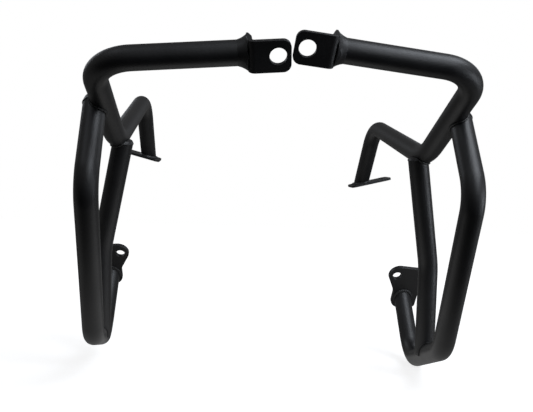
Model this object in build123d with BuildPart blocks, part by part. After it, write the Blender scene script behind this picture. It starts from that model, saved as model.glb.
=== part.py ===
from build123d import *
from math import cos, radians, sin
import os

os.makedirs("parts", exist_ok=True)

# A pair of welded tube crash bars for a motorcycle. X runs across the machine with the middle
# plane at X = 0, Y runs to the rear and Z is up. The origin is midway between the two front bolt
# holes. Lengths are millimetres and angles are degrees. The right-hand bar is drawn, and the
# left-hand bar is its mirror image.

# Tube stock
TUBE_OD = 25.4
TUBE_WALL = 2.0
BEND_RADIUS = 42.0
DIP_RADIUS = 80.0
HUMP_RADIUS = 60.0
STRUT_RADIUS = 90.0

# Plate stock, holes and welds
BRACKET_PLATE = 5.0
LOWER_PLATE = 6.0
FOOT_PLATE = 4.0
FRONT_HOLE = 17.0
LOWER_HOLE = 13.0
FOOT_HOLE = 10.5
WELD_LEG = 3.5
SADDLE_LEG = 2.0
UPRIGHT_CROWN = 7.0
STRUT_CROWN = 3.0
CROWN_LIP = 1.0
CROWN_TAPER = 1.5
FRONT_WELD = 10.0
FRONT_FLARE = 5.0
FRONT_TOE = 12.0
WELD_BACKING = 2.0
EDGE_MARGIN = 0.5

# Front bracket: a tab with the bolt hole, folded back into a flange that caps the tube
TAB_LEAN = 35.0
TAB_END = 12.7
TAB_REACH = 29.2
TAB_CORNER = 8.0
TAB_GAP = 0.4
TAB_DROP = 2.2
HOLE_RISE = 1.8
FIN_RISE = 5.2
FLANGE_MARGIN = 4.5
FOLD_RADIUS = 2.0
FLANGE_CORNER = 14.0
PEAK_BEVEL = 6.2
PEAK_SLOPE = 3.3

# Top tube: across to the first bend, then a dip, a hump and a drop to the rear foot
FRONT_RUN = 152.3
FRONT_DROOP = 5.4
FRONT_SWEEP = 1.3
TOE_IN = 0.5
DIP_RUN = 175.5
DIP_FALL = 22.2
RISE_RUN = 253.5
RISE_SLOPE = 18.7
DROP_RUN = 122.0
DROP_FALL = 45.4

# Lower loop: its corners are measured out, back and down from the top tube's first bend corner
UPRIGHT_SETBACK = 84.0
UPRIGHT_OFFSET = 9.5
UPRIGHT_SEAT = 1.0
KNEE_OUT = 7.0
KNEE_BACK = 30.0
KNEE_FALL = 120.5
TOE_OUT = 16.0
TOE_BACK = 138.0
TOE_FALL = 302.0
HEEL_OUT = 35.5
HEEL_BACK = 309.0
HEEL_FALL = 348.0
LEG_RUN = 96.5
LEG_RISE = 63.4
LEG_LEAN = 4.2

# Inner strut, from the dip of the top tube to the bottom run of the loop
STRUT_TOP_IN = 7.0
STRUT_TOP_BACK = 6.0
STRUT_TOP_FALL = 0.5
STRUT_KNEE_OUT = 21.0
STRUT_KNEE_BACK = 207.0
STRUT_KNEE_FALL = 205.0
STRUT_FOOT_RUN = 84.0
STRUT_FOOT_INSET = 3.5

# Lower mount plate, measured in its plane from the leg's centre line
LOWER_LEAN = 37.0
LOWER_HOLE_IN = 16.7
LOWER_HOLE_UP = 43.6
LOWER_TOP = 18.8
LOWER_EYE = 16.0
LOWER_INBOARD = 39.2
LOWER_OUTBOARD = 23.0
LOWER_TOP_FALL = 6.7
LOWER_CORNER = 8.0
LOWER_HEEL = 15.0
LOWER_MARGIN = 3.5
LOWER_TAIL = 8.0
LOWER_WAIST_UP = 12.0
LOWER_WAIST = 22.0

# Rear foot plate, measured in its plane from the tube's centre line
FOOT_INBOARD = 21.5
FOOT_OUTBOARD = 51.0
FOOT_HOLE_OUT = 37.0
FOOT_CORNER = 8.0
FOOT_ROLL = 14.0
FOOT_PITCH = 8.0

# The loose pair stands with the right bar tipped back and the left bar tipped forward
TIP = 2.4
TIP_PIVOT_Y = 90.5
TIP_PIVOT_Z = 56.0

tube_r = TUBE_OD / 2
bore_r = tube_r - TUBE_WALL
stub_length = 3 * TUBE_OD


def heading(rise, toe=0.0):
    """Unit vector to the rear that climbs by rise and turns outwards by toe."""
    level = cos(radians(rise))
    return Vector(level * sin(radians(toe)), level * cos(radians(toe)), sin(radians(rise)))


# Bracket axes: across along the front run, back through the tab, and up the tab
across = Vector(
    cos(radians(FRONT_DROOP)) * cos(radians(FRONT_SWEEP)),
    cos(radians(FRONT_DROOP)) * sin(radians(FRONT_SWEEP)),
    -sin(radians(FRONT_DROOP)),
)
tab_up = Vector(0, -sin(radians(TAB_LEAN)), cos(radians(TAB_LEAN)))
tab_up = (tab_up - across * tab_up.dot(across)).normalized()
flange_reach = tube_r + FLANGE_MARGIN
flange_top = tube_r + FIN_RISE
flange_low = tube_r + TAB_DROP
tab_mid = BRACKET_PLATE / 2 - flange_reach

# The tab's rounded lower corner comes nearest to the middle plane
corner_in = (TAB_END - TAB_CORNER) * across.X
corner_low = (flange_low + HOLE_RISE - TAB_CORNER) * tab_up.X
front_hole = Vector(TAB_GAP / 2 + corner_in + corner_low + TAB_CORNER, 0, 0)
bracket_frame = Plane(origin=(0, 0, 0), x_dir=across, z_dir=tab_up)
tube_front = front_hole + bracket_frame.from_local_coords(Vector(TAB_REACH, -tab_mid, -HOLE_RISE))
bracket_plane = Plane(origin=tube_front, x_dir=across, z_dir=tab_up)

# Corners of the three tubes
first_bend = tube_front + across * FRONT_RUN
dip = first_bend + heading(-DIP_FALL, -TOE_IN) * DIP_RUN
hump = dip + heading(RISE_SLOPE, -TOE_IN) * RISE_RUN
drop_line = heading(-DROP_FALL, -TOE_IN)
foot_centre = hump + drop_line * DROP_RUN

knee = first_bend + Vector(KNEE_OUT, KNEE_BACK, -KNEE_FALL)
toe = first_bend + Vector(TOE_OUT, TOE_BACK, -TOE_FALL)
heel = first_bend + Vector(HEEL_OUT, HEEL_BACK, -HEEL_FALL)
leg_line = heading(LEG_RISE, -LEG_LEAN)
leg_end = heel + leg_line * LEG_RUN
upright_axis = first_bend + heading(-DIP_FALL, -TOE_IN) * UPRIGHT_SETBACK + Vector(UPRIGHT_OFFSET, 0, 0)
upright_line = (knee - upright_axis).normalized()
upright_top = upright_axis + upright_line * UPRIGHT_SEAT

strut_top = dip + Vector(-STRUT_TOP_IN, STRUT_TOP_BACK, -STRUT_TOP_FALL)
strut_knee = first_bend + Vector(STRUT_KNEE_OUT, STRUT_KNEE_BACK, -STRUT_KNEE_FALL)
strut_foot = toe + (heel - toe).normalized() * STRUT_FOOT_RUN - Vector(STRUT_FOOT_INSET, 0, 0)

# Planes of the two end plates, on the faces that the tubes are welded to
lower_plane = Plane(origin=leg_end, x_dir=(-1, 0, 0), z_dir=heading(LOWER_LEAN))
foot_across = Vector(cos(radians(FOOT_ROLL)), 0, sin(radians(FOOT_ROLL)))
foot_plane = Plane(origin=foot_centre, x_dir=foot_across, z_dir=foot_across.cross(heading(FOOT_PITCH)))

top_bends = (BEND_RADIUS, DIP_RADIUS, HUMP_RADIUS)
loop_bends = (BEND_RADIUS, BEND_RADIUS, BEND_RADIUS)
strut_bends = (STRUT_RADIUS,)
past_plate = TUBE_OD
top_route = (tube_front, first_bend, dip, hump, foot_centre + drop_line * past_plate)
loop_route = (upright_top, knee, toe, heel, leg_end + leg_line * past_plate)
strut_route = (strut_top, strut_knee, strut_foot)


def rod(route, bends, radius):
    """Solid round bar along straight runs joined by arcs."""
    with BuildPart() as bar:
        with BuildLine():
            FilletPolyline(*route, radius=list(bends))
        with BuildSketch(Plane(origin=route[0], z_dir=route[1] - route[0])):
            Circle(radius)
        sweep()
    return bar.part


def stub(start, line, radius):
    """Short straight round bar from a point along a line."""
    with BuildPart() as bar:
        with BuildSketch(Plane(origin=start, z_dir=line)):
            Circle(radius)
        extrude(amount=stub_length)
    return bar.part


# Outsides of the tubes, for the copes and the welds
top_rod = rod(top_route, top_bends, tube_r)
loop_rod = rod(loop_route, loop_bends, tube_r)
strut_rod = rod(strut_route, strut_bends, tube_r)

with BuildPart() as top_tube:
    add(top_rod)
    add(rod(top_route, top_bends, bore_r), mode=Mode.SUBTRACT)
    split(bisect_by=foot_plane, keep=Keep.TOP)

# The loop is coped to the top tube and cut square with the lower plate
with BuildPart() as lower_loop:
    add(loop_rod)
    add(rod(loop_route, loop_bends, bore_r), mode=Mode.SUBTRACT)
    add(top_rod, mode=Mode.SUBTRACT)
    split(bisect_by=lower_plane, keep=Keep.BOTTOM)

# The strut is coped at both ends
with BuildPart() as inner_strut:
    add(strut_rod)
    add(rod(strut_route, strut_bends, bore_r), mode=Mode.SUBTRACT)
    add(top_rod, mode=Mode.SUBTRACT)
    add(loop_rod, mode=Mode.SUBTRACT)

# Tab and flange are one folded plate, drawn in section and extruded up the tab
across_axis = Axis(tube_front, across)
back_axis = Axis(tube_front, bracket_plane.y_dir)
with BuildPart() as front_bracket:
    with BuildSketch(bracket_plane.offset(-flange_low)) as section:
        tab_tip = -TAB_REACH - TAB_END
        tab_back = BRACKET_PLATE - flange_reach
        with BuildLine():
            Polyline(
                (0, flange_reach),
                (0, -flange_reach),
                (tab_tip, -flange_reach),
                (tab_tip, tab_back),
                (-BRACKET_PLATE, tab_back),
                (-BRACKET_PLATE, flange_reach),
                close=True,
            )
        make_face()
        fillet(section.vertices().sort_by_distance((0, -flange_reach))[0], FOLD_RADIUS + BRACKET_PLATE)
        fillet(section.vertices().sort_by_distance((-BRACKET_PLATE, tab_back))[0], FOLD_RADIUS)
    extrude(amount=flange_low + flange_top)
    fillet(front_bracket.edges().filter_by(back_axis).group_by(across_axis)[0], TAB_CORNER)
    fillet(front_bracket.edges().filter_by(across_axis).group_by(back_axis)[-1], FLANGE_CORNER)
    with BuildSketch(Plane(origin=front_hole, x_dir=across, z_dir=bracket_plane.y_dir)):
        Circle(FRONT_HOLE / 2)
    extrude(amount=BRACKET_PLATE, both=True, mode=Mode.SUBTRACT)
    # The flange's peak is ground to a slope on the tab's side
    peak_up = tab_up * cos(radians(TAB_LEAN)) + bracket_plane.y_dir * sin(radians(TAB_LEAN))
    peak_high = (flange_top - FLANGE_CORNER) * cos(radians(TAB_LEAN)) + FLANGE_CORNER
    peak_high += (flange_reach - FLANGE_CORNER) * sin(radians(TAB_LEAN))
    with BuildSketch(Plane(origin=tube_front, x_dir=across, z_dir=across.cross(peak_up))):
        with BuildLine():
            Polyline(
                (-BRACKET_PLATE, peak_high - PEAK_BEVEL),
                (2 * PEAK_SLOPE - BRACKET_PLATE, peak_high + PEAK_BEVEL),
                (-BRACKET_PLATE, peak_high + PEAK_BEVEL),
                close=True,
            )
        make_face()
    extrude(amount=flange_reach, both=True, mode=Mode.SUBTRACT)

# The leg stands askew on the lower plate, so its footprint there is an ellipse
leg_half = tube_r / abs(leg_line.dot(lower_plane.z_dir)) + LOWER_TAIL
lower_half = tube_r + LOWER_MARGIN
with BuildPart() as lower_mount_plate:
    with BuildSketch(lower_plane) as outline:
        eye = (LOWER_INBOARD, LOWER_HOLE_UP + LOWER_TOP)
        waist = (lower_half, LOWER_WAIST_UP)
        under_leg = (lower_half, -leg_half)
        with BuildLine():
            Polyline(
                eye,
                (-LOWER_OUTBOARD, LOWER_HOLE_UP + LOWER_TOP - LOWER_TOP_FALL),
                (-LOWER_OUTBOARD, -leg_half),
                under_leg,
                waist,
                close=True,
            )
        make_face()
        fillet(outline.vertices().sort_by_distance(waist)[0], LOWER_WAIST)
        fillet(outline.vertices().sort_by_distance(under_leg)[0], LOWER_HEEL)
        fillet(outline.vertices().group_by(Axis.X)[0], LOWER_CORNER)
        fillet(outline.vertices().sort_by_distance(eye)[0], LOWER_EYE)
        with Locations((LOWER_HOLE_IN, LOWER_HOLE_UP)):
            Circle(LOWER_HOLE / 2, mode=Mode.SUBTRACT)
    extrude(amount=LOWER_PLATE)

foot_half = tube_r / abs(drop_line.dot(foot_plane.z_dir)) + WELD_LEG + EDGE_MARGIN
with BuildPart() as rear_foot_plate:
    with BuildSketch(foot_plane):
        with Locations(((FOOT_OUTBOARD - FOOT_INBOARD) / 2, 0)):
            RectangleRounded(FOOT_OUTBOARD + FOOT_INBOARD, 2 * foot_half, FOOT_CORNER)
        with Locations((FOOT_HOLE_OUT, 0)):
            Circle(FOOT_HOLE / 2, mode=Mode.SUBTRACT)
    extrude(amount=-FOOT_PLATE)


def plate_weld(face, depth, bar):
    """Fillet weld round a tube that stands on a plate, drawn on a pad that runs past the plate's edges."""
    with BuildPart() as pad:
        with BuildSketch(face):
            Circle(stub_length)
        extrude(amount=depth)
    with BuildPart() as bead:
        add(pad.part)
        add(bar)
        rings = bead.edges().filter_by(GeomType.LINE, reverse=True)
        chamfer(rings.sort_by_distance(face.origin)[0], WELD_LEG)
        add(pad.part, mode=Mode.SUBTRACT)
        add(bar, mode=Mode.SUBTRACT)
    return bead


def saddle_weld(carrier, envelope, branch, start, line, crown):
    """Weld round a coped tube where it sits on another, heaped up to crown over an overhanging end."""
    with BuildPart() as bead:
        add(envelope)
        add(stub(start, line, tube_r + SADDLE_LEG), mode=Mode.INTERSECT)
        if crown:
            height = CROWN_LIP + crown
            seated = (Align.CENTER, Align.CENTER, Align.MIN)
            with Locations(Plane(origin=start + line * CROWN_LIP, z_dir=-line)):
                Cone(tube_r + CROWN_LIP, tube_r - CROWN_TAPER, height, align=seated)
        add(carrier, mode=Mode.SUBTRACT)
        add(branch, mode=Mode.SUBTRACT)
    return bead


# The tube's front edge overhangs the fold a little, and the weld fills in behind it
fold_fill = BRACKET_PLATE / 2
with BuildPart() as front_weld:
    with BuildSketch(Plane(origin=tube_front, x_dir=bracket_plane.y_dir, z_dir=tab_up)):
        with BuildLine():
            Polyline(
                (tube_r, -FRONT_WELD),
                (0, -FRONT_WELD),
                (0, fold_fill),
                (tube_r + WELD_BACKING, fold_fill),
                (tube_r + WELD_BACKING, 0),
                (tube_r + FRONT_FLARE, 0),
            )
            toe_line = (sin(radians(FRONT_TOE)), cos(radians(FRONT_TOE)))
            TangentArc((tube_r, -FRONT_WELD), (tube_r + FRONT_FLARE, 0), tangent=toe_line)
        make_face()
    revolve(axis=across_axis)
    with BuildSketch(bracket_plane.offset(-flange_low)):
        weld_front = tube_r + WELD_BACKING + EDGE_MARGIN
        with Locations((-BRACKET_PLATE, -weld_front)):
            Rectangle(BRACKET_PLATE + TUBE_OD, flange_reach + weld_front, align=(Align.MIN, Align.MIN))
    extrude(amount=flange_low + flange_top, mode=Mode.INTERSECT)
    add(front_bracket.part, mode=Mode.SUBTRACT)
    add(top_rod, mode=Mode.SUBTRACT)

with BuildPart() as drop_end:
    add(stub(foot_centre - drop_line * stub_length / 2, drop_line, tube_r))
    split(bisect_by=foot_plane, keep=Keep.TOP)
foot_weld = plate_weld(foot_plane, -FOOT_PLATE, drop_end.part)
with BuildPart() as leg_top:
    add(stub(leg_end - leg_line * stub_length / 2, leg_line, tube_r))
    split(bisect_by=lower_plane, keep=Keep.BOTTOM)
lower_weld = plate_weld(lower_plane, LOWER_PLATE, leg_top.part)

top_envelope = rod(top_route, top_bends, tube_r + SADDLE_LEG)
loop_envelope = rod(loop_route, loop_bends, tube_r + SADDLE_LEG)
strut_fall = (strut_knee - strut_top).normalized()
strut_rise = (strut_knee - strut_foot).normalized()
upright_weld = saddle_weld(top_rod, top_envelope, loop_rod, upright_top, upright_line, UPRIGHT_CROWN)
strut_top_weld = saddle_weld(top_rod, top_envelope, strut_rod, strut_top, strut_fall, STRUT_CROWN)
strut_foot_weld = saddle_weld(loop_rod, loop_envelope, strut_rod, strut_foot, strut_rise, 0)

# Each finished piece stands in its place on the right, and its mirror image on the left
tip_axis = Axis((0, TIP_PIVOT_Y, TIP_PIVOT_Z), (1, 0, 0))


def stand(name, piece):
    """Write the right-hand piece and its left-hand twin."""
    with BuildPart() as right:
        add(piece.part.rotate(tip_axis, -TIP))
    with BuildPart() as left:
        mirror(piece.part.rotate(tip_axis, TIP), about=Plane.YZ)
    for side, placed in (("right", right), ("left", left)):
        placed.part.label = f"{side}_{name}"
        export_step(placed.part, f"parts/{side}_{name}.step")


stand("top_tube", top_tube)
stand("lower_loop", lower_loop)
stand("inner_strut", inner_strut)
stand("front_bracket", front_bracket)
stand("lower_mount_plate", lower_mount_plate)
stand("rear_foot_plate", rear_foot_plate)
stand("front_weld", front_weld)
stand("rear_foot_weld", foot_weld)
stand("lower_plate_weld", lower_weld)
stand("upright_weld", upright_weld)
stand("strut_top_weld", strut_top_weld)
stand("strut_foot_weld", strut_foot_weld)
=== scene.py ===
from math import cos, pi, radians, sin, tan

import bpy
from bpy.props import FloatProperty, FloatVectorProperty, IntProperty, PointerProperty
from mathutils import Matrix, Vector
from mathutils.bvhtree import BVHTree


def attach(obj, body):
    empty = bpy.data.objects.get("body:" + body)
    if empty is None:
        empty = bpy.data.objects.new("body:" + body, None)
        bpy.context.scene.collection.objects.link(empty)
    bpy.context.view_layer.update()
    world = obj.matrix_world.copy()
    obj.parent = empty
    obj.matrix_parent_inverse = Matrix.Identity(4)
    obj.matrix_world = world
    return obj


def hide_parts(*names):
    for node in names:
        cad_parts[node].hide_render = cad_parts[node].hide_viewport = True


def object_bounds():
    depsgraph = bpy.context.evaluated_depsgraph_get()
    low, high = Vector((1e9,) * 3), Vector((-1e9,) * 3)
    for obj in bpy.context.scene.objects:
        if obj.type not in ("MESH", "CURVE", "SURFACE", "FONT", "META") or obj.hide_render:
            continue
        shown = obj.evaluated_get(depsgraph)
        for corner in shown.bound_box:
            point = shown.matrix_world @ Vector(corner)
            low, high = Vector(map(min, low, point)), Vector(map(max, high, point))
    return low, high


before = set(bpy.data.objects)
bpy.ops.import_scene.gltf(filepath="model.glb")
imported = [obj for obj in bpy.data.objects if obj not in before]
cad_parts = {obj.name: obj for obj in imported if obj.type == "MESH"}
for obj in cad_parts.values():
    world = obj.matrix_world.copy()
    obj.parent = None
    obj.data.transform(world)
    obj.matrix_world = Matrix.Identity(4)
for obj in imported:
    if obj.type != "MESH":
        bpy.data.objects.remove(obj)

bl_info = {
    "name": "Motorcycle crash bars",
    "version": (1, 0, 0),
    "blender": (4, 5, 0),
    "location": "View3D > Sidebar > Crash bars",
    "description": "Models and finishes a right-hand and a left-hand crash bar of welded tube",
    "category": "Add Mesh",
}

CAD_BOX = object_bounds()
MM = 0.001
SIDES = ("right", "left")
IMAGE_WIDTH = 533

# Points nearer to each other than this become one, on drawn tubes and on copies of CAD nodes
TUBE_MERGE = 0.01 * MM
CAD_MERGE = 0.002 * MM
# Degrees: faces of a plate that turn less than this are one, and edges that turn more are rounded
FLAT_ANGLE = 0.5
EDGE_ANGLE = 40
EDGE_SEGMENTS = 3
# Degrees: an edge that turns more than this stays sharp in the shading
TUBE_CREASE = 35
PLATE_CREASE = 40
BEAD_CREASE = 50
FEWEST_BEND_STEPS = 4
# Cosine of the most that a plate's broad face may turn from the way in which it is sought
FACING = 0.5
# A drop of weld metal: its facets, and its half width as a share of the weld's leg
DROP_SEGMENTS, DROP_RINGS = 16, 10
DROP_WIDTH = 0.75
# Softening of a weld: the share of the way in each round, and the rounds before and after its ripples
SOFTENING = 0.5
HEAP_ROUNDS = 8
RIPPLE_ROUNDS = 2
# The rays that find a seam: how far off the tube's skin they run, and their length in diameters
SEAM_CLEARANCE = 0.1 * MM
SEAM_REACH = 1.3
# A flare's toe: its depth along the tube, and the scale that sinks it into the skin
TOE_DEPTH = 0.05 * MM
TOE_SCALE = 0.98

FLOOR_SIZE = 12.0
FLOOR_GAP = 1 * MM
# The paper to the eye: its shade under the lamps, and its own glow by metres from the origin
PAPER_SHADE = 0.5
PAPER_GLOW = {"From Min": 0.7, "From Max": 1.5, "To Min": 0.8, "To Max": 1.0}
# The paper to the coat, a painted glow that stands in for a lit floor and shows in the coat as painted
# reflections: its glow by metres to the rear, and the gain on it by metres to the side
PAINTED_FLOOR_GLOW = ((0.1, 0.52), (0.33, 0.52), (0.4, 0.05), (0.52, 0.05), (0.65, 0.26))
PAINTED_GLOW_GAIN = {"From Min": 0.1, "From Max": 0.3, "To Min": 1.35, "To Max": 0.55}
# The room round the object: its light, and the share of white that the coat mirrors
ROOM_LIGHT = 0.12
ROOM_MIRRORED = 0.05
# Each lamp's place and size in metres, and its power in watts
SOFTBOXES = {
    "key_softbox": ((0.85, -0.35, 0.85), (0.6, 0.6), 6.6),
    "front_softbox": ((0.42, -0.5, 0.9), (0.7, 0.7), 5.2),
    "fill_softbox": ((0.55, -0.8, 0.35), (0.5, 0.5), 2.6),
    "left_softbox": ((-0.75, -0.35, 0.85), (0.6, 0.6), 0.9),
    "rear_left_softbox": ((-0.9, 1.1, 0.6), (0.6, 0.6), 2.0),
    "rear_right_softbox": ((0.9, 1.1, 0.6), (0.6, 0.6), 1.5),
    "low_front_softbox": ((0.75, -0.55, -0.1), (0.4, 0.4), 0.3),
    "low_side_softbox": ((0.92, -0.12, -0.22), (0.3, 0.3), 1.5),
}


def linear(code):
    """Linear colour of an sRGB hex code."""
    values = [int(code[k:k + 2], 16) / 255 for k in (1, 3, 5)]
    return [v / 12.92 if v <= 0.04045 else ((v + 0.055) / 1.055) ** 2.4 for v in values]


def length(name, description, millimetres):
    """A length that the user can change, given in millimetres and kept in metres."""
    return FloatProperty(name=name, description=description, default=millimetres * MM, unit="LENGTH")


def corner(name, description, *millimetres):
    """A point that the user can change, such as a tube's corner: millimetres to the right, back and up
    from the middle of the front holes, kept in metres."""
    default = [value * MM for value in millimetres]
    return FloatVectorProperty(name=name, description=description, default=default, unit="LENGTH")


def angle(name, description, degrees):
    """An angle that the user can change, given in degrees."""
    return FloatProperty(name=name, description=description, default=radians(degrees), subtype="ANGLE")


def share(name, description, default):
    """A plain number from 0 to 1 that the user can change."""
    return FloatProperty(name=name, description=description, default=default, min=0.0, max=1.0)


def colour(name, description, code):
    """A colour that the user can change, given as an sRGB hex code."""
    return FloatVectorProperty(name=name, description=description, default=linear(code), subtype="COLOR")


class TubeSizes(bpy.types.PropertyGroup):
    """Stock and bends of the tubes"""

    outside: length("Outside", "Outside diameter of every tube", 25.4)
    wall: length("Wall", "Wall thickness of every tube", 2.0)
    bend: length("Bend", "Centre-line radius of the tight bends", 42.0)
    dip_bend: length("Dip bend", "Centre-line radius where the top tube dips", 80.0)
    hump_bend: length("Hump bend", "Centre-line radius over the top tube's hump", 60.0)
    strut_bend: length("Strut bend", "Centre-line radius of the strut's slight bend", 90.0)
    facets: IntProperty(name="Facets", description="Faces round a tube", default=64)
    bend_step: angle("Bend step", "Angle between rings in a bend", 3)


class TubeRoutes(bpy.types.PropertyGroup):
    """Corners of the right-hand bar's tubes, before the bar is tipped"""

    front: corner("Front", "Where the top tube meets the front bracket", 43.1, 13.7, 4.2)
    first_bend: corner("First bend", "Where the top tube turns to the rear", 194.7, 17.2, -10.1)
    dip: corner("Dip", "Bottom of the top tube's dip", 193.3, 179.7, -76.4)
    hump: corner("Hump", "Top of the top tube's hump", 191.2, 419.8, 4.8)
    foot: corner("Foot", "Where the top tube meets the rear foot plate", 190.4, 505.4, -82.0)
    upright_top: corner("Upright top", "Where the loop meets the top tube", 203.5, 94.5, -42.7)
    knee: corner("Knee", "Foremost bend of the loop", 201.7, 47.2, -130.6)
    toe: corner("Toe", "Front of the loop's bottom run", 210.7, 155.2, -312.1)
    heel: corner("Heel", "Rear of the loop's bottom run", 230.2, 326.2, -358.1)
    leg_end: corner("Leg end", "Where the loop meets the lower mount plate", 227.0, 369.3, -271.8)
    strut_top: corner("Strut top", "Where the strut meets the top tube", 186.3, 185.7, -76.9)
    strut_knee: corner("Strut knee", "Slight bend of the strut", 215.7, 224.2, -215.1)
    strut_foot: corner("Strut foot", "Where the strut meets the loop", 216.4, 235.8, -333.8)
    tip: angle("Tip", "Angle that one bar tips back and the other forward", 2.4)
    pivot: corner("Pivot", "Point that each bar tips about", 0.0, 90.5, 56.0)


class PlateSizes(bpy.types.PropertyGroup):
    """Edges of the cut plates"""

    edge: length("Edge", "Rounding that the coat leaves on a cut edge", 0.7)


class WeldSizes(bpy.types.PropertyGroup):
    """Beads of the welds"""

    pitch: length("Pitch", "Distance from one ripple to the next", 2.6)
    ripple: length("Ripple", "Half length of one ripple along the seam", 2.0)
    plate_leg: length("Plate leg", "Leg of the welds on the plates", 3.5)
    saddle_leg: length("Saddle leg", "Leg of the welds between two tubes", 2.0)
    crest: length("Crest", "How far the ripples stand out of the weld", 0.5)
    lean: angle("Lean", "Angle that a ripple leans along the seam", 24)
    grain: length("Grain", "Finest detail of the bead's surface", 0.4)


class CoatLooks(bpy.types.PropertyGroup):
    """Powder coat on tubes, plates and welds"""

    dark: colour("Dark", "Deeper tone of the coat", "#0C0C0D")
    pale: colour("Pale", "Paler tone of the coat", "#131315")
    roughness: share("Roughness", "Mean roughness on tubes and plates", 0.46)
    weld_roughness: share("Weld roughness", "Mean roughness on the welds", 0.48)
    gloss_change: share("Gloss change", "How far the roughness drifts from its mean", 0.08)
    peel: length("Peel", "Width of the orange peel's cells", 2.4)
    peel_depth: length("Peel depth", "Depth of the orange peel on tubes and plates", 0.16)
    weld_peel_depth: length("Weld peel depth", "Depth of the orange peel on the welds", 0.1)
    peel_strength: share("Peel strength", "How strongly the orange peel turns the light", 0.8)
    cloud: length("Cloud", "Width of the patches where the coat's tone changes", 35.0)


class StageSizes(bpy.types.PropertyGroup):
    """Floor, lamps and camera"""

    paper: colour("Paper", "Floor and background", "#FFFFFF")
    lamp: colour("Lamp", "Tint of the lamps", "#F0F6FF")
    focal_pixels: FloatProperty(name="Focal length", description="In pixels of the picture", default=604.0)
    eye: corner("Eye", "Where the camera stands", -67.6, -572.2, -149.5)
    yaw: angle("Yaw", "Camera's turn to the right", 4.71)
    pitch: angle("Pitch", "Camera's look upward", 0.155)
    roll: angle("Roll", "Camera's tilt to its side", 1.85)


class CrashBarSettings(bpy.types.PropertyGroup):
    """All sizes and colours of the crash bars"""

    tube: PointerProperty(type=TubeSizes)
    route: PointerProperty(type=TubeRoutes)
    plate: PointerProperty(type=PlateSizes)
    weld: PointerProperty(type=WeldSizes)
    coat: PointerProperty(type=CoatLooks)
    stage: PointerProperty(type=StageSizes)


def settings():
    """The sizes and colours in use."""
    return bpy.context.scene.crash_bars


def take(piece):
    """Select one object alone and make it active."""
    bpy.ops.object.select_all(action="DESELECT")
    piece.select_set(True)
    bpy.context.view_layer.objects.active = piece


def modify(piece, kind, **values):
    """Add a modifier with its settings and apply it."""
    take(piece)
    bpy.ops.object.modifier_add(type=kind)
    modifier = piece.modifiers[-1]
    for key, value in values.items():
        setattr(modifier, key, value)
    bpy.ops.object.modifier_apply(modifier=modifier.name)


def smooth(piece, crease):
    """Shade smooth, apart from edges that turn more than a number of degrees."""
    take(piece)
    bpy.ops.object.shade_smooth_by_angle(angle=radians(crease))


def add_node(tree, kind, links=None, **values):
    """Add a shader node, set its values and feed its inputs from sockets or constants."""
    node = tree.nodes.new(kind)
    for key, value in values.items():
        setattr(node, key, value)
    for key, source in (links or {}).items():
        if isinstance(source, bpy.types.NodeSocket):
            tree.links.new(source, node.inputs[key])
        else:
            node.inputs[key].default_value = source
    return node


def new_material(name):
    """An empty node material with its output."""
    material = bpy.data.materials.new(name)
    material.use_nodes = True
    material.node_tree.nodes.clear()
    return material, material.node_tree, add_node(material.node_tree, "ShaderNodeOutputMaterial")


def powder_coat(name, roughness, peel_depth):
    """Satin black polyester powder, sprayed dry and baked: it flows into a skin with a faint orange
    peel, so highlights are broad and soft, with slow changes of tone and gloss over the surface."""
    if name in bpy.data.materials:
        return bpy.data.materials[name]
    coat = settings().coat
    material, tree, output = new_material(name)
    place = add_node(tree, "ShaderNodeTexCoord").outputs["Object"]
    cloud = add_node(
        tree, "ShaderNodeTexNoise", {"Vector": place, "Scale": 1 / coat.cloud, "Detail": 3.0}
    ).outputs["Fac"]
    tone = add_node(tree, "ShaderNodeMix", {"Factor": cloud}, data_type="RGBA")
    tone.inputs["A"].default_value = (*coat.dark, 1)
    tone.inputs["B"].default_value = (*coat.pale, 1)
    drift = {"To Min": roughness - coat.gloss_change, "To Max": roughness + coat.gloss_change}
    gloss = add_node(tree, "ShaderNodeMapRange", {"Value": cloud, **drift}).outputs["Result"]
    # Real orange peel has cells of about a millimetre, drawn twice as wide so that they show
    peel = add_node(
        tree, "ShaderNodeTexNoise", {"Vector": place, "Scale": 1 / coat.peel, "Detail": 2.0}
    ).outputs["Fac"]
    bump = add_node(
        tree, "ShaderNodeBump", {"Height": peel, "Strength": coat.peel_strength, "Distance": peel_depth}
    ).outputs["Normal"]
    shader = add_node(
        tree,
        "ShaderNodeBsdfPrincipled",
        {"Base Color": tone.outputs["Result"], "Roughness": gloss, "Normal": bump, "IOR": 1.5},
    )
    tree.links.new(shader.outputs["BSDF"], output.inputs["Surface"])
    return material


def dress(piece, node, material):
    """Give a finished piece its coat, and let it stand for its CAD node."""
    piece.data.materials.clear()
    piece.data.materials.append(material)
    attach(piece, "root")
    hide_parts(node)


def dress_coated(piece, node):
    """Finish a tube or a plate."""
    coat = settings().coat
    material = powder_coat("satin_black_powder_coat", coat.roughness, coat.peel_depth)
    dress(piece, node, material)


def placed(point, side):
    """A point of the right-hand bar, put where it lies on a side: tipped, and on the left mirrored."""
    route = settings().route
    pivot = Vector(route.pivot)
    turn = Matrix.Rotation(-route.tip if side == "right" else route.tip, 3, "X")
    spot = pivot + turn @ (Vector(point) - pivot)
    return spot if side == "right" else Vector((-spot.x, spot.y, spot.z))


def routes(side):
    """Corners and bend radii of a side's three tubes."""
    route, tube = settings().route, settings().tube
    corners = {
        "top_tube": (route.front, route.first_bend, route.dip, route.hump, route.foot),
        "lower_loop": (route.upright_top, route.knee, route.toe, route.heel, route.leg_end),
        "inner_strut": (route.strut_top, route.strut_knee, route.strut_foot),
    }
    bends = {
        "top_tube": (tube.bend, tube.dip_bend, tube.hump_bend),
        "lower_loop": (tube.bend, tube.bend, tube.bend),
        "inner_strut": (tube.strut_bend,),
    }
    return {name: ([placed(p, side) for p in points], bends[name]) for name, points in corners.items()}


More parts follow.
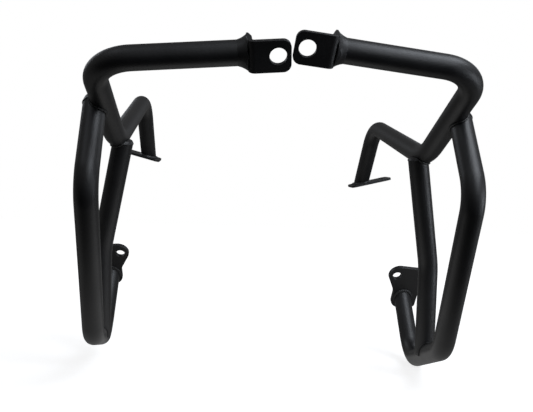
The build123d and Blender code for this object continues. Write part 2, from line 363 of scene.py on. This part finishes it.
def bend_tube(name, path, bends, spare=0.0):
    """Draw a circle along straight runs and round bends. Spare is run on past the far end."""
    tube = settings().tube
    line = (path[1] - path[0]).normalized()
    bpy.ops.object.select_all(action="DESELECT")
    bpy.ops.mesh.primitive_circle_add(
        vertices=tube.facets,
        radius=tube.outside / 2,
        location=path[0],
        rotation=line.to_track_quat("Z", "Y").to_euler(),
    )
    piece = bpy.context.object
    piece.name = name
    bpy.ops.object.transform_apply()
    bpy.ops.object.mode_set(mode="EDIT")
    bpy.ops.mesh.select_all(action="SELECT")
    here = path[0]
    for turn, beyond, radius in zip(path[1:], path[2:], bends):
        onward = (beyond - turn).normalized()
        turned = line.angle(onward)
        tangent = radius * tan(turned / 2)
        bend_start = turn - line * tangent
        axis = line.cross(onward).normalized()
        bpy.ops.mesh.extrude_region_move(TRANSFORM_OT_translate={"value": bend_start - here})
        bpy.ops.mesh.spin(
            steps=max(FEWEST_BEND_STEPS, round(turned / tube.bend_step)),
            angle=-turned,
            center=bend_start + axis.cross(line) * radius,
            axis=axis,
        )
        here = turn + onward * tangent
        line = onward
    bpy.ops.mesh.extrude_region_move(TRANSFORM_OT_translate={"value": path[-1] + line * spare - here})
    bpy.ops.mesh.select_all(action="SELECT")
    bpy.ops.mesh.remove_doubles(threshold=TUBE_MERGE)
    bpy.ops.mesh.normals_make_consistent(inside=False)
    bpy.ops.object.mode_set(mode="OBJECT")
    return piece


def plate_face(node, towards):
    """A point and the outward normal of the broad face of a plate that looks a given way."""
    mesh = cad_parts[node].data
    areas = {}
    for polygon in mesh.polygons:
        if polygon.normal.dot(towards) > FACING * towards.length:
            key = tuple(round(c, 2) for c in polygon.normal)
            area, _ = areas.get(key, (0.0, None))
            areas[key] = (area + polygon.area, polygon)
    _, widest = max(areas.values(), key=lambda found: found[0])
    return widest.center.copy(), widest.normal.copy()


def trim(piece, point, outward):
    """Cut a tube off at a plane, and drop what lies beyond it."""
    take(piece)
    bpy.ops.object.mode_set(mode="EDIT")
    bpy.ops.mesh.select_all(action="SELECT")
    bpy.ops.mesh.bisect(plane_co=point, plane_no=outward, clear_outer=True)
    bpy.ops.object.mode_set(mode="OBJECT")


def rod(path, bends):
    """The closed outside of a tube, to cope another tube to it."""
    piece = bend_tube("cope_cutter", path, bends)
    bpy.ops.object.mode_set(mode="EDIT")
    bpy.ops.mesh.select_all(action="SELECT")
    bpy.ops.mesh.fill_holes(sides=0)
    bpy.ops.mesh.normals_make_consistent(inside=False)
    bpy.ops.object.mode_set(mode="OBJECT")
    return piece


def cope(piece, cutter):
    """Saddle the end of a tube to the outside of another."""
    modify(piece, "BOOLEAN", object=cutter, operation="DIFFERENCE", solver="EXACT")
    bpy.data.objects.remove(cutter)


def finish_tube(piece, node):
    """Shade and coat a tube."""
    smooth(piece, TUBE_CREASE)
    dress_coated(piece, node)


def wall_up(piece):
    """Give a tube its wall."""
    modify(piece, "SOLIDIFY", thickness=settings().tube.wall, offset=-1.0)


class CRASHBARS_OT_top_tubes(bpy.types.Operator):
    """Bend the top tubes, from the front bracket over the dip and the hump to the rear foot"""

    bl_idname = "crash_bars.top_tubes"
    bl_label = "Top tubes"

    def execute(self, context):
        spare = settings().tube.outside
        for side in SIDES:
            path, bends = routes(side)["top_tube"]
            piece = bend_tube(f"{side}_top_tube_coated", path, bends, spare)
            foot, normal = plate_face(f"{side}_rear_foot_plate", path[-2] - path[-1])
            trim(piece, foot, -normal)
            wall_up(piece)
            finish_tube(piece, f"{side}_top_tube")
        return {"FINISHED"}


class CRASHBARS_OT_lower_loops(bpy.types.Operator):
    """Bend the lower loops, coped under the top tubes and cut off at the lower mount plates"""

    bl_idname = "crash_bars.lower_loops"
    bl_label = "Lower loops"

    def execute(self, context):
        spare = settings().tube.outside
        for side in SIDES:
            tubes = routes(side)
            path, bends = tubes["lower_loop"]
            piece = bend_tube(f"{side}_lower_loop_coated", path, bends, spare)
            lug, normal = plate_face(f"{side}_lower_mount_plate", path[-2] - path[-1])
            trim(piece, lug, -normal)
            wall_up(piece)
            cope(piece, rod(*tubes["top_tube"]))
            finish_tube(piece, f"{side}_lower_loop")
        return {"FINISHED"}


class CRASHBARS_OT_inner_struts(bpy.types.Operator):
    """Bend the inner struts, coped to the top tubes and to the loops"""

    bl_idname = "crash_bars.inner_struts"
    bl_label = "Inner struts"

    def execute(self, context):
        for side in SIDES:
            tubes = routes(side)
            piece = bend_tube(f"{side}_inner_strut_coated", *tubes["inner_strut"])
            wall_up(piece)
            cope(piece, rod(*tubes["top_tube"]))
            cope(piece, rod(*tubes["lower_loop"]))
            finish_tube(piece, f"{side}_inner_strut")
        return {"FINISHED"}


def merged_copy(node, name):
    """A copy of a CAD node with its faces joined up."""
    piece = bpy.data.objects.new(name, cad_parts[node].data.copy())
    bpy.context.scene.collection.objects.link(piece)
    take(piece)
    bpy.ops.object.mode_set(mode="EDIT")
    bpy.ops.mesh.select_all(action="SELECT")
    bpy.ops.mesh.remove_doubles(threshold=CAD_MERGE)
    bpy.ops.object.mode_set(mode="OBJECT")
    return piece


def soften_plate(node):
    """Round a plate's cut edges as the coat does."""
    piece = merged_copy(node, f"{node}_coated")
    bpy.ops.object.mode_set(mode="EDIT")
    bpy.ops.mesh.select_all(action="SELECT")
    bpy.ops.mesh.dissolve_limited(angle_limit=radians(FLAT_ANGLE))
    bpy.ops.object.mode_set(mode="OBJECT")
    modify(
        piece,
        "BEVEL",
        width=settings().plate.edge,
        segments=EDGE_SEGMENTS,
        limit_method="ANGLE",
        angle_limit=radians(EDGE_ANGLE),
    )
    smooth(piece, PLATE_CREASE)
    modify(piece, "WEIGHTED_NORMAL", keep_sharp=True)
    dress_coated(piece, node)


class CRASHBARS_OT_plates(bpy.types.Operator):
    """Finish the folded front brackets, the lower mount plates and the rear foot plates"""

    bl_idname = "crash_bars.plates"
    bl_label = "Brackets and plates"

    def execute(self, context):
        for side in SIDES:
            for plate in ("front_bracket", "lower_mount_plate", "rear_foot_plate"):
                soften_plate(f"{side}_{plate}")
        return {"FINISHED"}


def seam(root, along, carrier):
    """Points round a tube where it meets its carrier, each with the way that the weld faces there.
    Where the tube overhangs its carrier the point is None."""
    tube, weld = settings().tube, settings().weld
    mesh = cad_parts[carrier].data
    surface = BVHTree.FromPolygons([v.co for v in mesh.vertices], [p.vertices[:] for p in mesh.polygons])
    radius = tube.outside / 2
    reach = tube.outside
    count = round(2 * pi * radius / weld.pitch)
    first = along.orthogonal().normalized()
    second = along.cross(first)
    points = []
    for k in range(count):
        round_tube = 2 * pi * k / count
        radial = first * cos(round_tube) + second * sin(round_tube)
        start = root + along * reach + radial * (radius + SEAM_CLEARANCE)
        spot, normal, _, _ = surface.ray_cast(start, -along, SEAM_REACH * reach)
        points.append((spot, (radial + normal).normalized()) if spot else None)
    return points


def lay_drops(points, leg):
    """Drops of metal, one after another round a seam, each leaning on the last."""
    weld = settings().weld
    bpy.ops.object.select_all(action="DESELECT")
    bpy.ops.mesh.primitive_uv_sphere_add(segments=DROP_SEGMENTS, ring_count=DROP_RINGS, radius=1.0)
    drop = bpy.context.object
    height = leg / 2
    lift = leg * sin(pi / 4) + weld.crest - height
    drops = []
    for before, here, after in zip(points[-1:] + points[:-1], points, points[1:] + points[:1]):
        if None in (before, here, after):
            continue
        spot, facing = here
        onward = (after[0] - before[0]).normalized()
        across = onward.cross(facing).normalized()
        facing = across.cross(onward)
        leaned = Matrix.Rotation(weld.lean, 3, across)
        columns = (leaned @ onward * weld.ripple, across * leg * DROP_WIDTH, leaned @ facing * height)
        copy = bpy.data.objects.new("drop", drop.data.copy())
        bpy.context.scene.collection.objects.link(copy)
        copy.matrix_world = Matrix.Translation(spot + facing * lift) @ Matrix(columns).transposed().to_4x4()
        drops.append(copy)
    bpy.data.objects.remove(drop)
    return drops


def melt(piece, rounds):
    """Run the faces of a weld into one skin and soften it."""
    modify(piece, "REMESH", mode="VOXEL", voxel_size=settings().weld.grain)
    modify(piece, "SMOOTH", factor=SOFTENING, iterations=rounds)


def tuck_toe(piece, root, along):
    """Sink the thin edge of a flare under the skin of its tube, so that it ends in one clean line."""
    reach = max((vertex.co - root).dot(along) for vertex in piece.data.vertices)
    take(piece)
    bpy.ops.object.mode_set(mode="EDIT")
    bpy.ops.mesh.select_all(action="DESELECT")
    bpy.ops.object.mode_set(mode="OBJECT")
    for vertex in piece.data.vertices:
        vertex.select = (vertex.co - root).dot(along) > reach - TOE_DEPTH
    bpy.ops.object.mode_set(mode="EDIT")
    bpy.ops.transform.resize(value=(TOE_SCALE, TOE_SCALE, TOE_SCALE), center_override=root + along * reach)
    bpy.ops.object.mode_set(mode="OBJECT")


def lay_bead(node, root, along, carrier, leg):
    """Finish a weld: with a leg it is melted soft and rippled, and without one it stays a smooth flare."""
    heap = merged_copy(node, f"{node}_bead")
    if leg:
        melt(heap, HEAP_ROUNDS)
        drops = lay_drops(seam(root, along, carrier), leg)
        take(heap)
        for drop in drops:
            drop.select_set(True)
        bpy.ops.object.join()
        melt(heap, RIPPLE_ROUNDS)
    else:
        tuck_toe(heap, root, along)
    smooth(heap, BEAD_CREASE)
    coat = settings().coat
    material = powder_coat("powder_coat_over_weld", coat.weld_roughness, coat.weld_peel_depth)
    dress(heap, node, material)


class CRASHBARS_OT_welds(bpy.types.Operator):
    """Lay the weld beads round every joint"""

    bl_idname = "crash_bars.welds"
    bl_label = "Weld beads"

    def execute(self, context):
        for side in SIDES:
            tubes = routes(side)
            top, loop, strut = (tubes[name][0] for name in ("top_tube", "lower_loop", "inner_strut"))
            weld = settings().weld
            joints = {
                "front_weld": (top[0], top[1], "front_bracket", 0.0),
                "rear_foot_weld": (top[-1], top[-2], "rear_foot_plate", weld.plate_leg),
                "lower_plate_weld": (loop[-1], loop[-2], "lower_mount_plate", weld.plate_leg),
                "upright_weld": (loop[0], loop[1], "top_tube", weld.saddle_leg),
                "strut_top_weld": (strut[0], strut[1], "top_tube", weld.saddle_leg),
                "strut_foot_weld": (strut[-1], strut[-2], "lower_loop", weld.saddle_leg),
            }
            for name, (root, away, carrier, leg) in joints.items():
                lay_bead(f"{side}_{name}", root, (away - root).normalized(), f"{side}_{carrier}", leg)
        return {"FINISHED"}


def grey(level):
    """A grey of a linear level, with full cover."""
    return (level, level, level, 1)


def paper_floor():
    """Matt white paper: even and bright to the eye, with the object's soft shadow left in it. To the coat
    it is a painted glow, not lit by the lamps, which the coat shows as painted reflections: a bright
    painted band under the loops, a duller one behind them and a dark room in front."""
    paper = (*settings().stage.paper, 1)
    material, tree, output = new_material("matt_white_paper")
    place = add_node(tree, "ShaderNodeTexCoord").outputs["Object"]
    across, depth, _ = add_node(tree, "ShaderNodeSeparateXYZ", {0: place}).outputs
    # Painted light: to every ray but the eye's the paper glows by depth and side, a painted stand-in for a
    # lit floor
    painted_glow_ramp = add_node(tree, "ShaderNodeValToRGB", {"Fac": depth})
    stops = painted_glow_ramp.color_ramp.elements
    for metres, level in PAINTED_FLOOR_GLOW:
        stops.new(metres).color = grey(level)
    stops[0].color = grey(0)
    stops[-1].color = grey(PAINTED_FLOOR_GLOW[-1][1])
    aside = add_node(tree, "ShaderNodeMath", {0: across}, operation="ABSOLUTE").outputs[0]
    gain = add_node(tree, "ShaderNodeMapRange", {"Value": aside, **PAINTED_GLOW_GAIN}).outputs["Result"]
    # The painted glow that the coat mirrors as painted reflections
    mirrored = add_node(tree, "ShaderNodeEmission", {"Color": painted_glow_ramp.outputs["Color"], "Strength": gain})
    shadowed = add_node(tree, "ShaderNodeBsdfDiffuse", {"Color": grey(PAPER_SHADE)})
    away = add_node(tree, "ShaderNodeVectorMath", {0: place}, operation="LENGTH").outputs["Value"]
    fade = add_node(tree, "ShaderNodeMapRange", {"Value": away, **PAPER_GLOW}).outputs["Result"]
    glow = add_node(tree, "ShaderNodeEmission", {"Color": paper, "Strength": fade})
    lit = add_node(tree, "ShaderNodeAddShader", {0: shadowed.outputs[0], 1: glow.outputs[0]})
    seen = add_node(tree, "ShaderNodeLightPath").outputs["Is Camera Ray"]
    mix = add_node(tree, "ShaderNodeMixShader", {0: seen, 1: mirrored.outputs[0], 2: lit.outputs[0]})
    tree.links.new(mix.outputs[0], output.inputs["Surface"])
    return material


def white_surround():
    """A white world to the eye, and a dim even room to the coat."""
    world = bpy.data.worlds.new("white_surround")
    bpy.context.scene.world = world
    world.use_nodes = True
    tree = world.node_tree
    tree.nodes.clear()
    rays = add_node(tree, "ShaderNodeLightPath").outputs
    mirrored = add_node(
        tree, "ShaderNodeMath", {0: rays["Is Glossy Ray"], 1: ROOM_MIRRORED}, operation="MULTIPLY"
    )
    seen = add_node(
        tree, "ShaderNodeMath", {0: rays["Is Camera Ray"], 1: mirrored.outputs[0]}, operation="MAXIMUM"
    )
    level = add_node(
        tree, "ShaderNodeMapRange", {"Value": seen.outputs[0], "To Min": ROOM_LIGHT, "To Max": 1.0}
    )
    glow = add_node(
        tree,
        "ShaderNodeBackground",
        {"Color": (*settings().stage.paper, 1), "Strength": level.outputs["Result"]},
    )
    output = add_node(tree, "ShaderNodeOutputWorld")
    tree.links.new(glow.outputs[0], output.inputs["Surface"])


def softbox(name, place, target, size, watts):
    """A soft studio lamp, a little cool, that looks at a point."""
    aim = (Vector(target) - Vector(place)).to_track_quat("-Z", "Y").to_euler()
    bpy.ops.object.light_add(type="AREA", location=place, rotation=aim)
    lamp = bpy.context.object
    lamp.name = name
    lamp.data.shape = "RECTANGLE"
    lamp.data.size, lamp.data.size_y = size
    lamp.data.energy = watts
    lamp.data.color = settings().stage.lamp


class CRASHBARS_OT_stage(bpy.types.Operator):
    """Set the white floor, the soft lamps and the camera"""

    bl_idname = "crash_bars.stage"
    bl_label = "Stage"

    def execute(self, context):
        stage = settings().stage
        low, high = CAD_BOX
        middle = (low + high) / 2
        bpy.ops.object.select_all(action="DESELECT")
        bpy.ops.mesh.primitive_plane_add(size=FLOOR_SIZE, location=(middle.x, middle.y, low.z - FLOOR_GAP))
        floor = bpy.context.object
        floor.name = "paper_floor"
        bpy.ops.object.transform_apply()
        floor.data.materials.append(paper_floor())
        white_surround()
        for name, (place, size, watts) in SOFTBOXES.items():
            softbox(name, place, middle, size, watts)
        tilt = (radians(90) + stage.pitch, -stage.roll, -stage.yaw)
        bpy.ops.object.camera_add(location=stage.eye, rotation=tilt)
        camera = context.object
        camera.data.sensor_fit = "HORIZONTAL"
        camera.data.lens = camera.data.sensor_width * stage.focal_pixels / IMAGE_WIDTH
        context.scene.camera = camera
        context.scene.view_settings.view_transform = "Standard"
        return {"FINISHED"}


class CRASHBARS_PT_panel(bpy.types.Panel):
    """Steps that make the crash bars"""

    bl_idname = "CRASHBARS_PT_panel"
    bl_label = "Crash bars"
    bl_space_type = "VIEW_3D"
    bl_region_type = "UI"
    bl_category = "Crash bars"

    def draw(self, context):
        for step in STEPS:
            self.layout.operator(step.bl_idname)


STEPS = (
    CRASHBARS_OT_top_tubes,
    CRASHBARS_OT_lower_loops,
    CRASHBARS_OT_inner_struts,
    CRASHBARS_OT_plates,
    CRASHBARS_OT_welds,
    CRASHBARS_OT_stage,
)
GROUPS = (TubeSizes, TubeRoutes, PlateSizes, WeldSizes, CoatLooks, StageSizes, CrashBarSettings)


def register():
    for kind in (*GROUPS, *STEPS, CRASHBARS_PT_panel):
        bpy.utils.register_class(kind)
    bpy.types.Scene.crash_bars = PointerProperty(type=CrashBarSettings)


def unregister():
    del bpy.types.Scene.crash_bars
    for kind in reversed((*GROUPS, *STEPS, CRASHBARS_PT_panel)):
        bpy.utils.unregister_class(kind)


def main():
    register()
    bpy.ops.crash_bars.top_tubes()
    bpy.ops.crash_bars.lower_loops()
    bpy.ops.crash_bars.inner_struts()
    bpy.ops.crash_bars.plates()
    bpy.ops.crash_bars.welds()
    bpy.ops.crash_bars.stage()


if __name__ == "__main__":
    main()
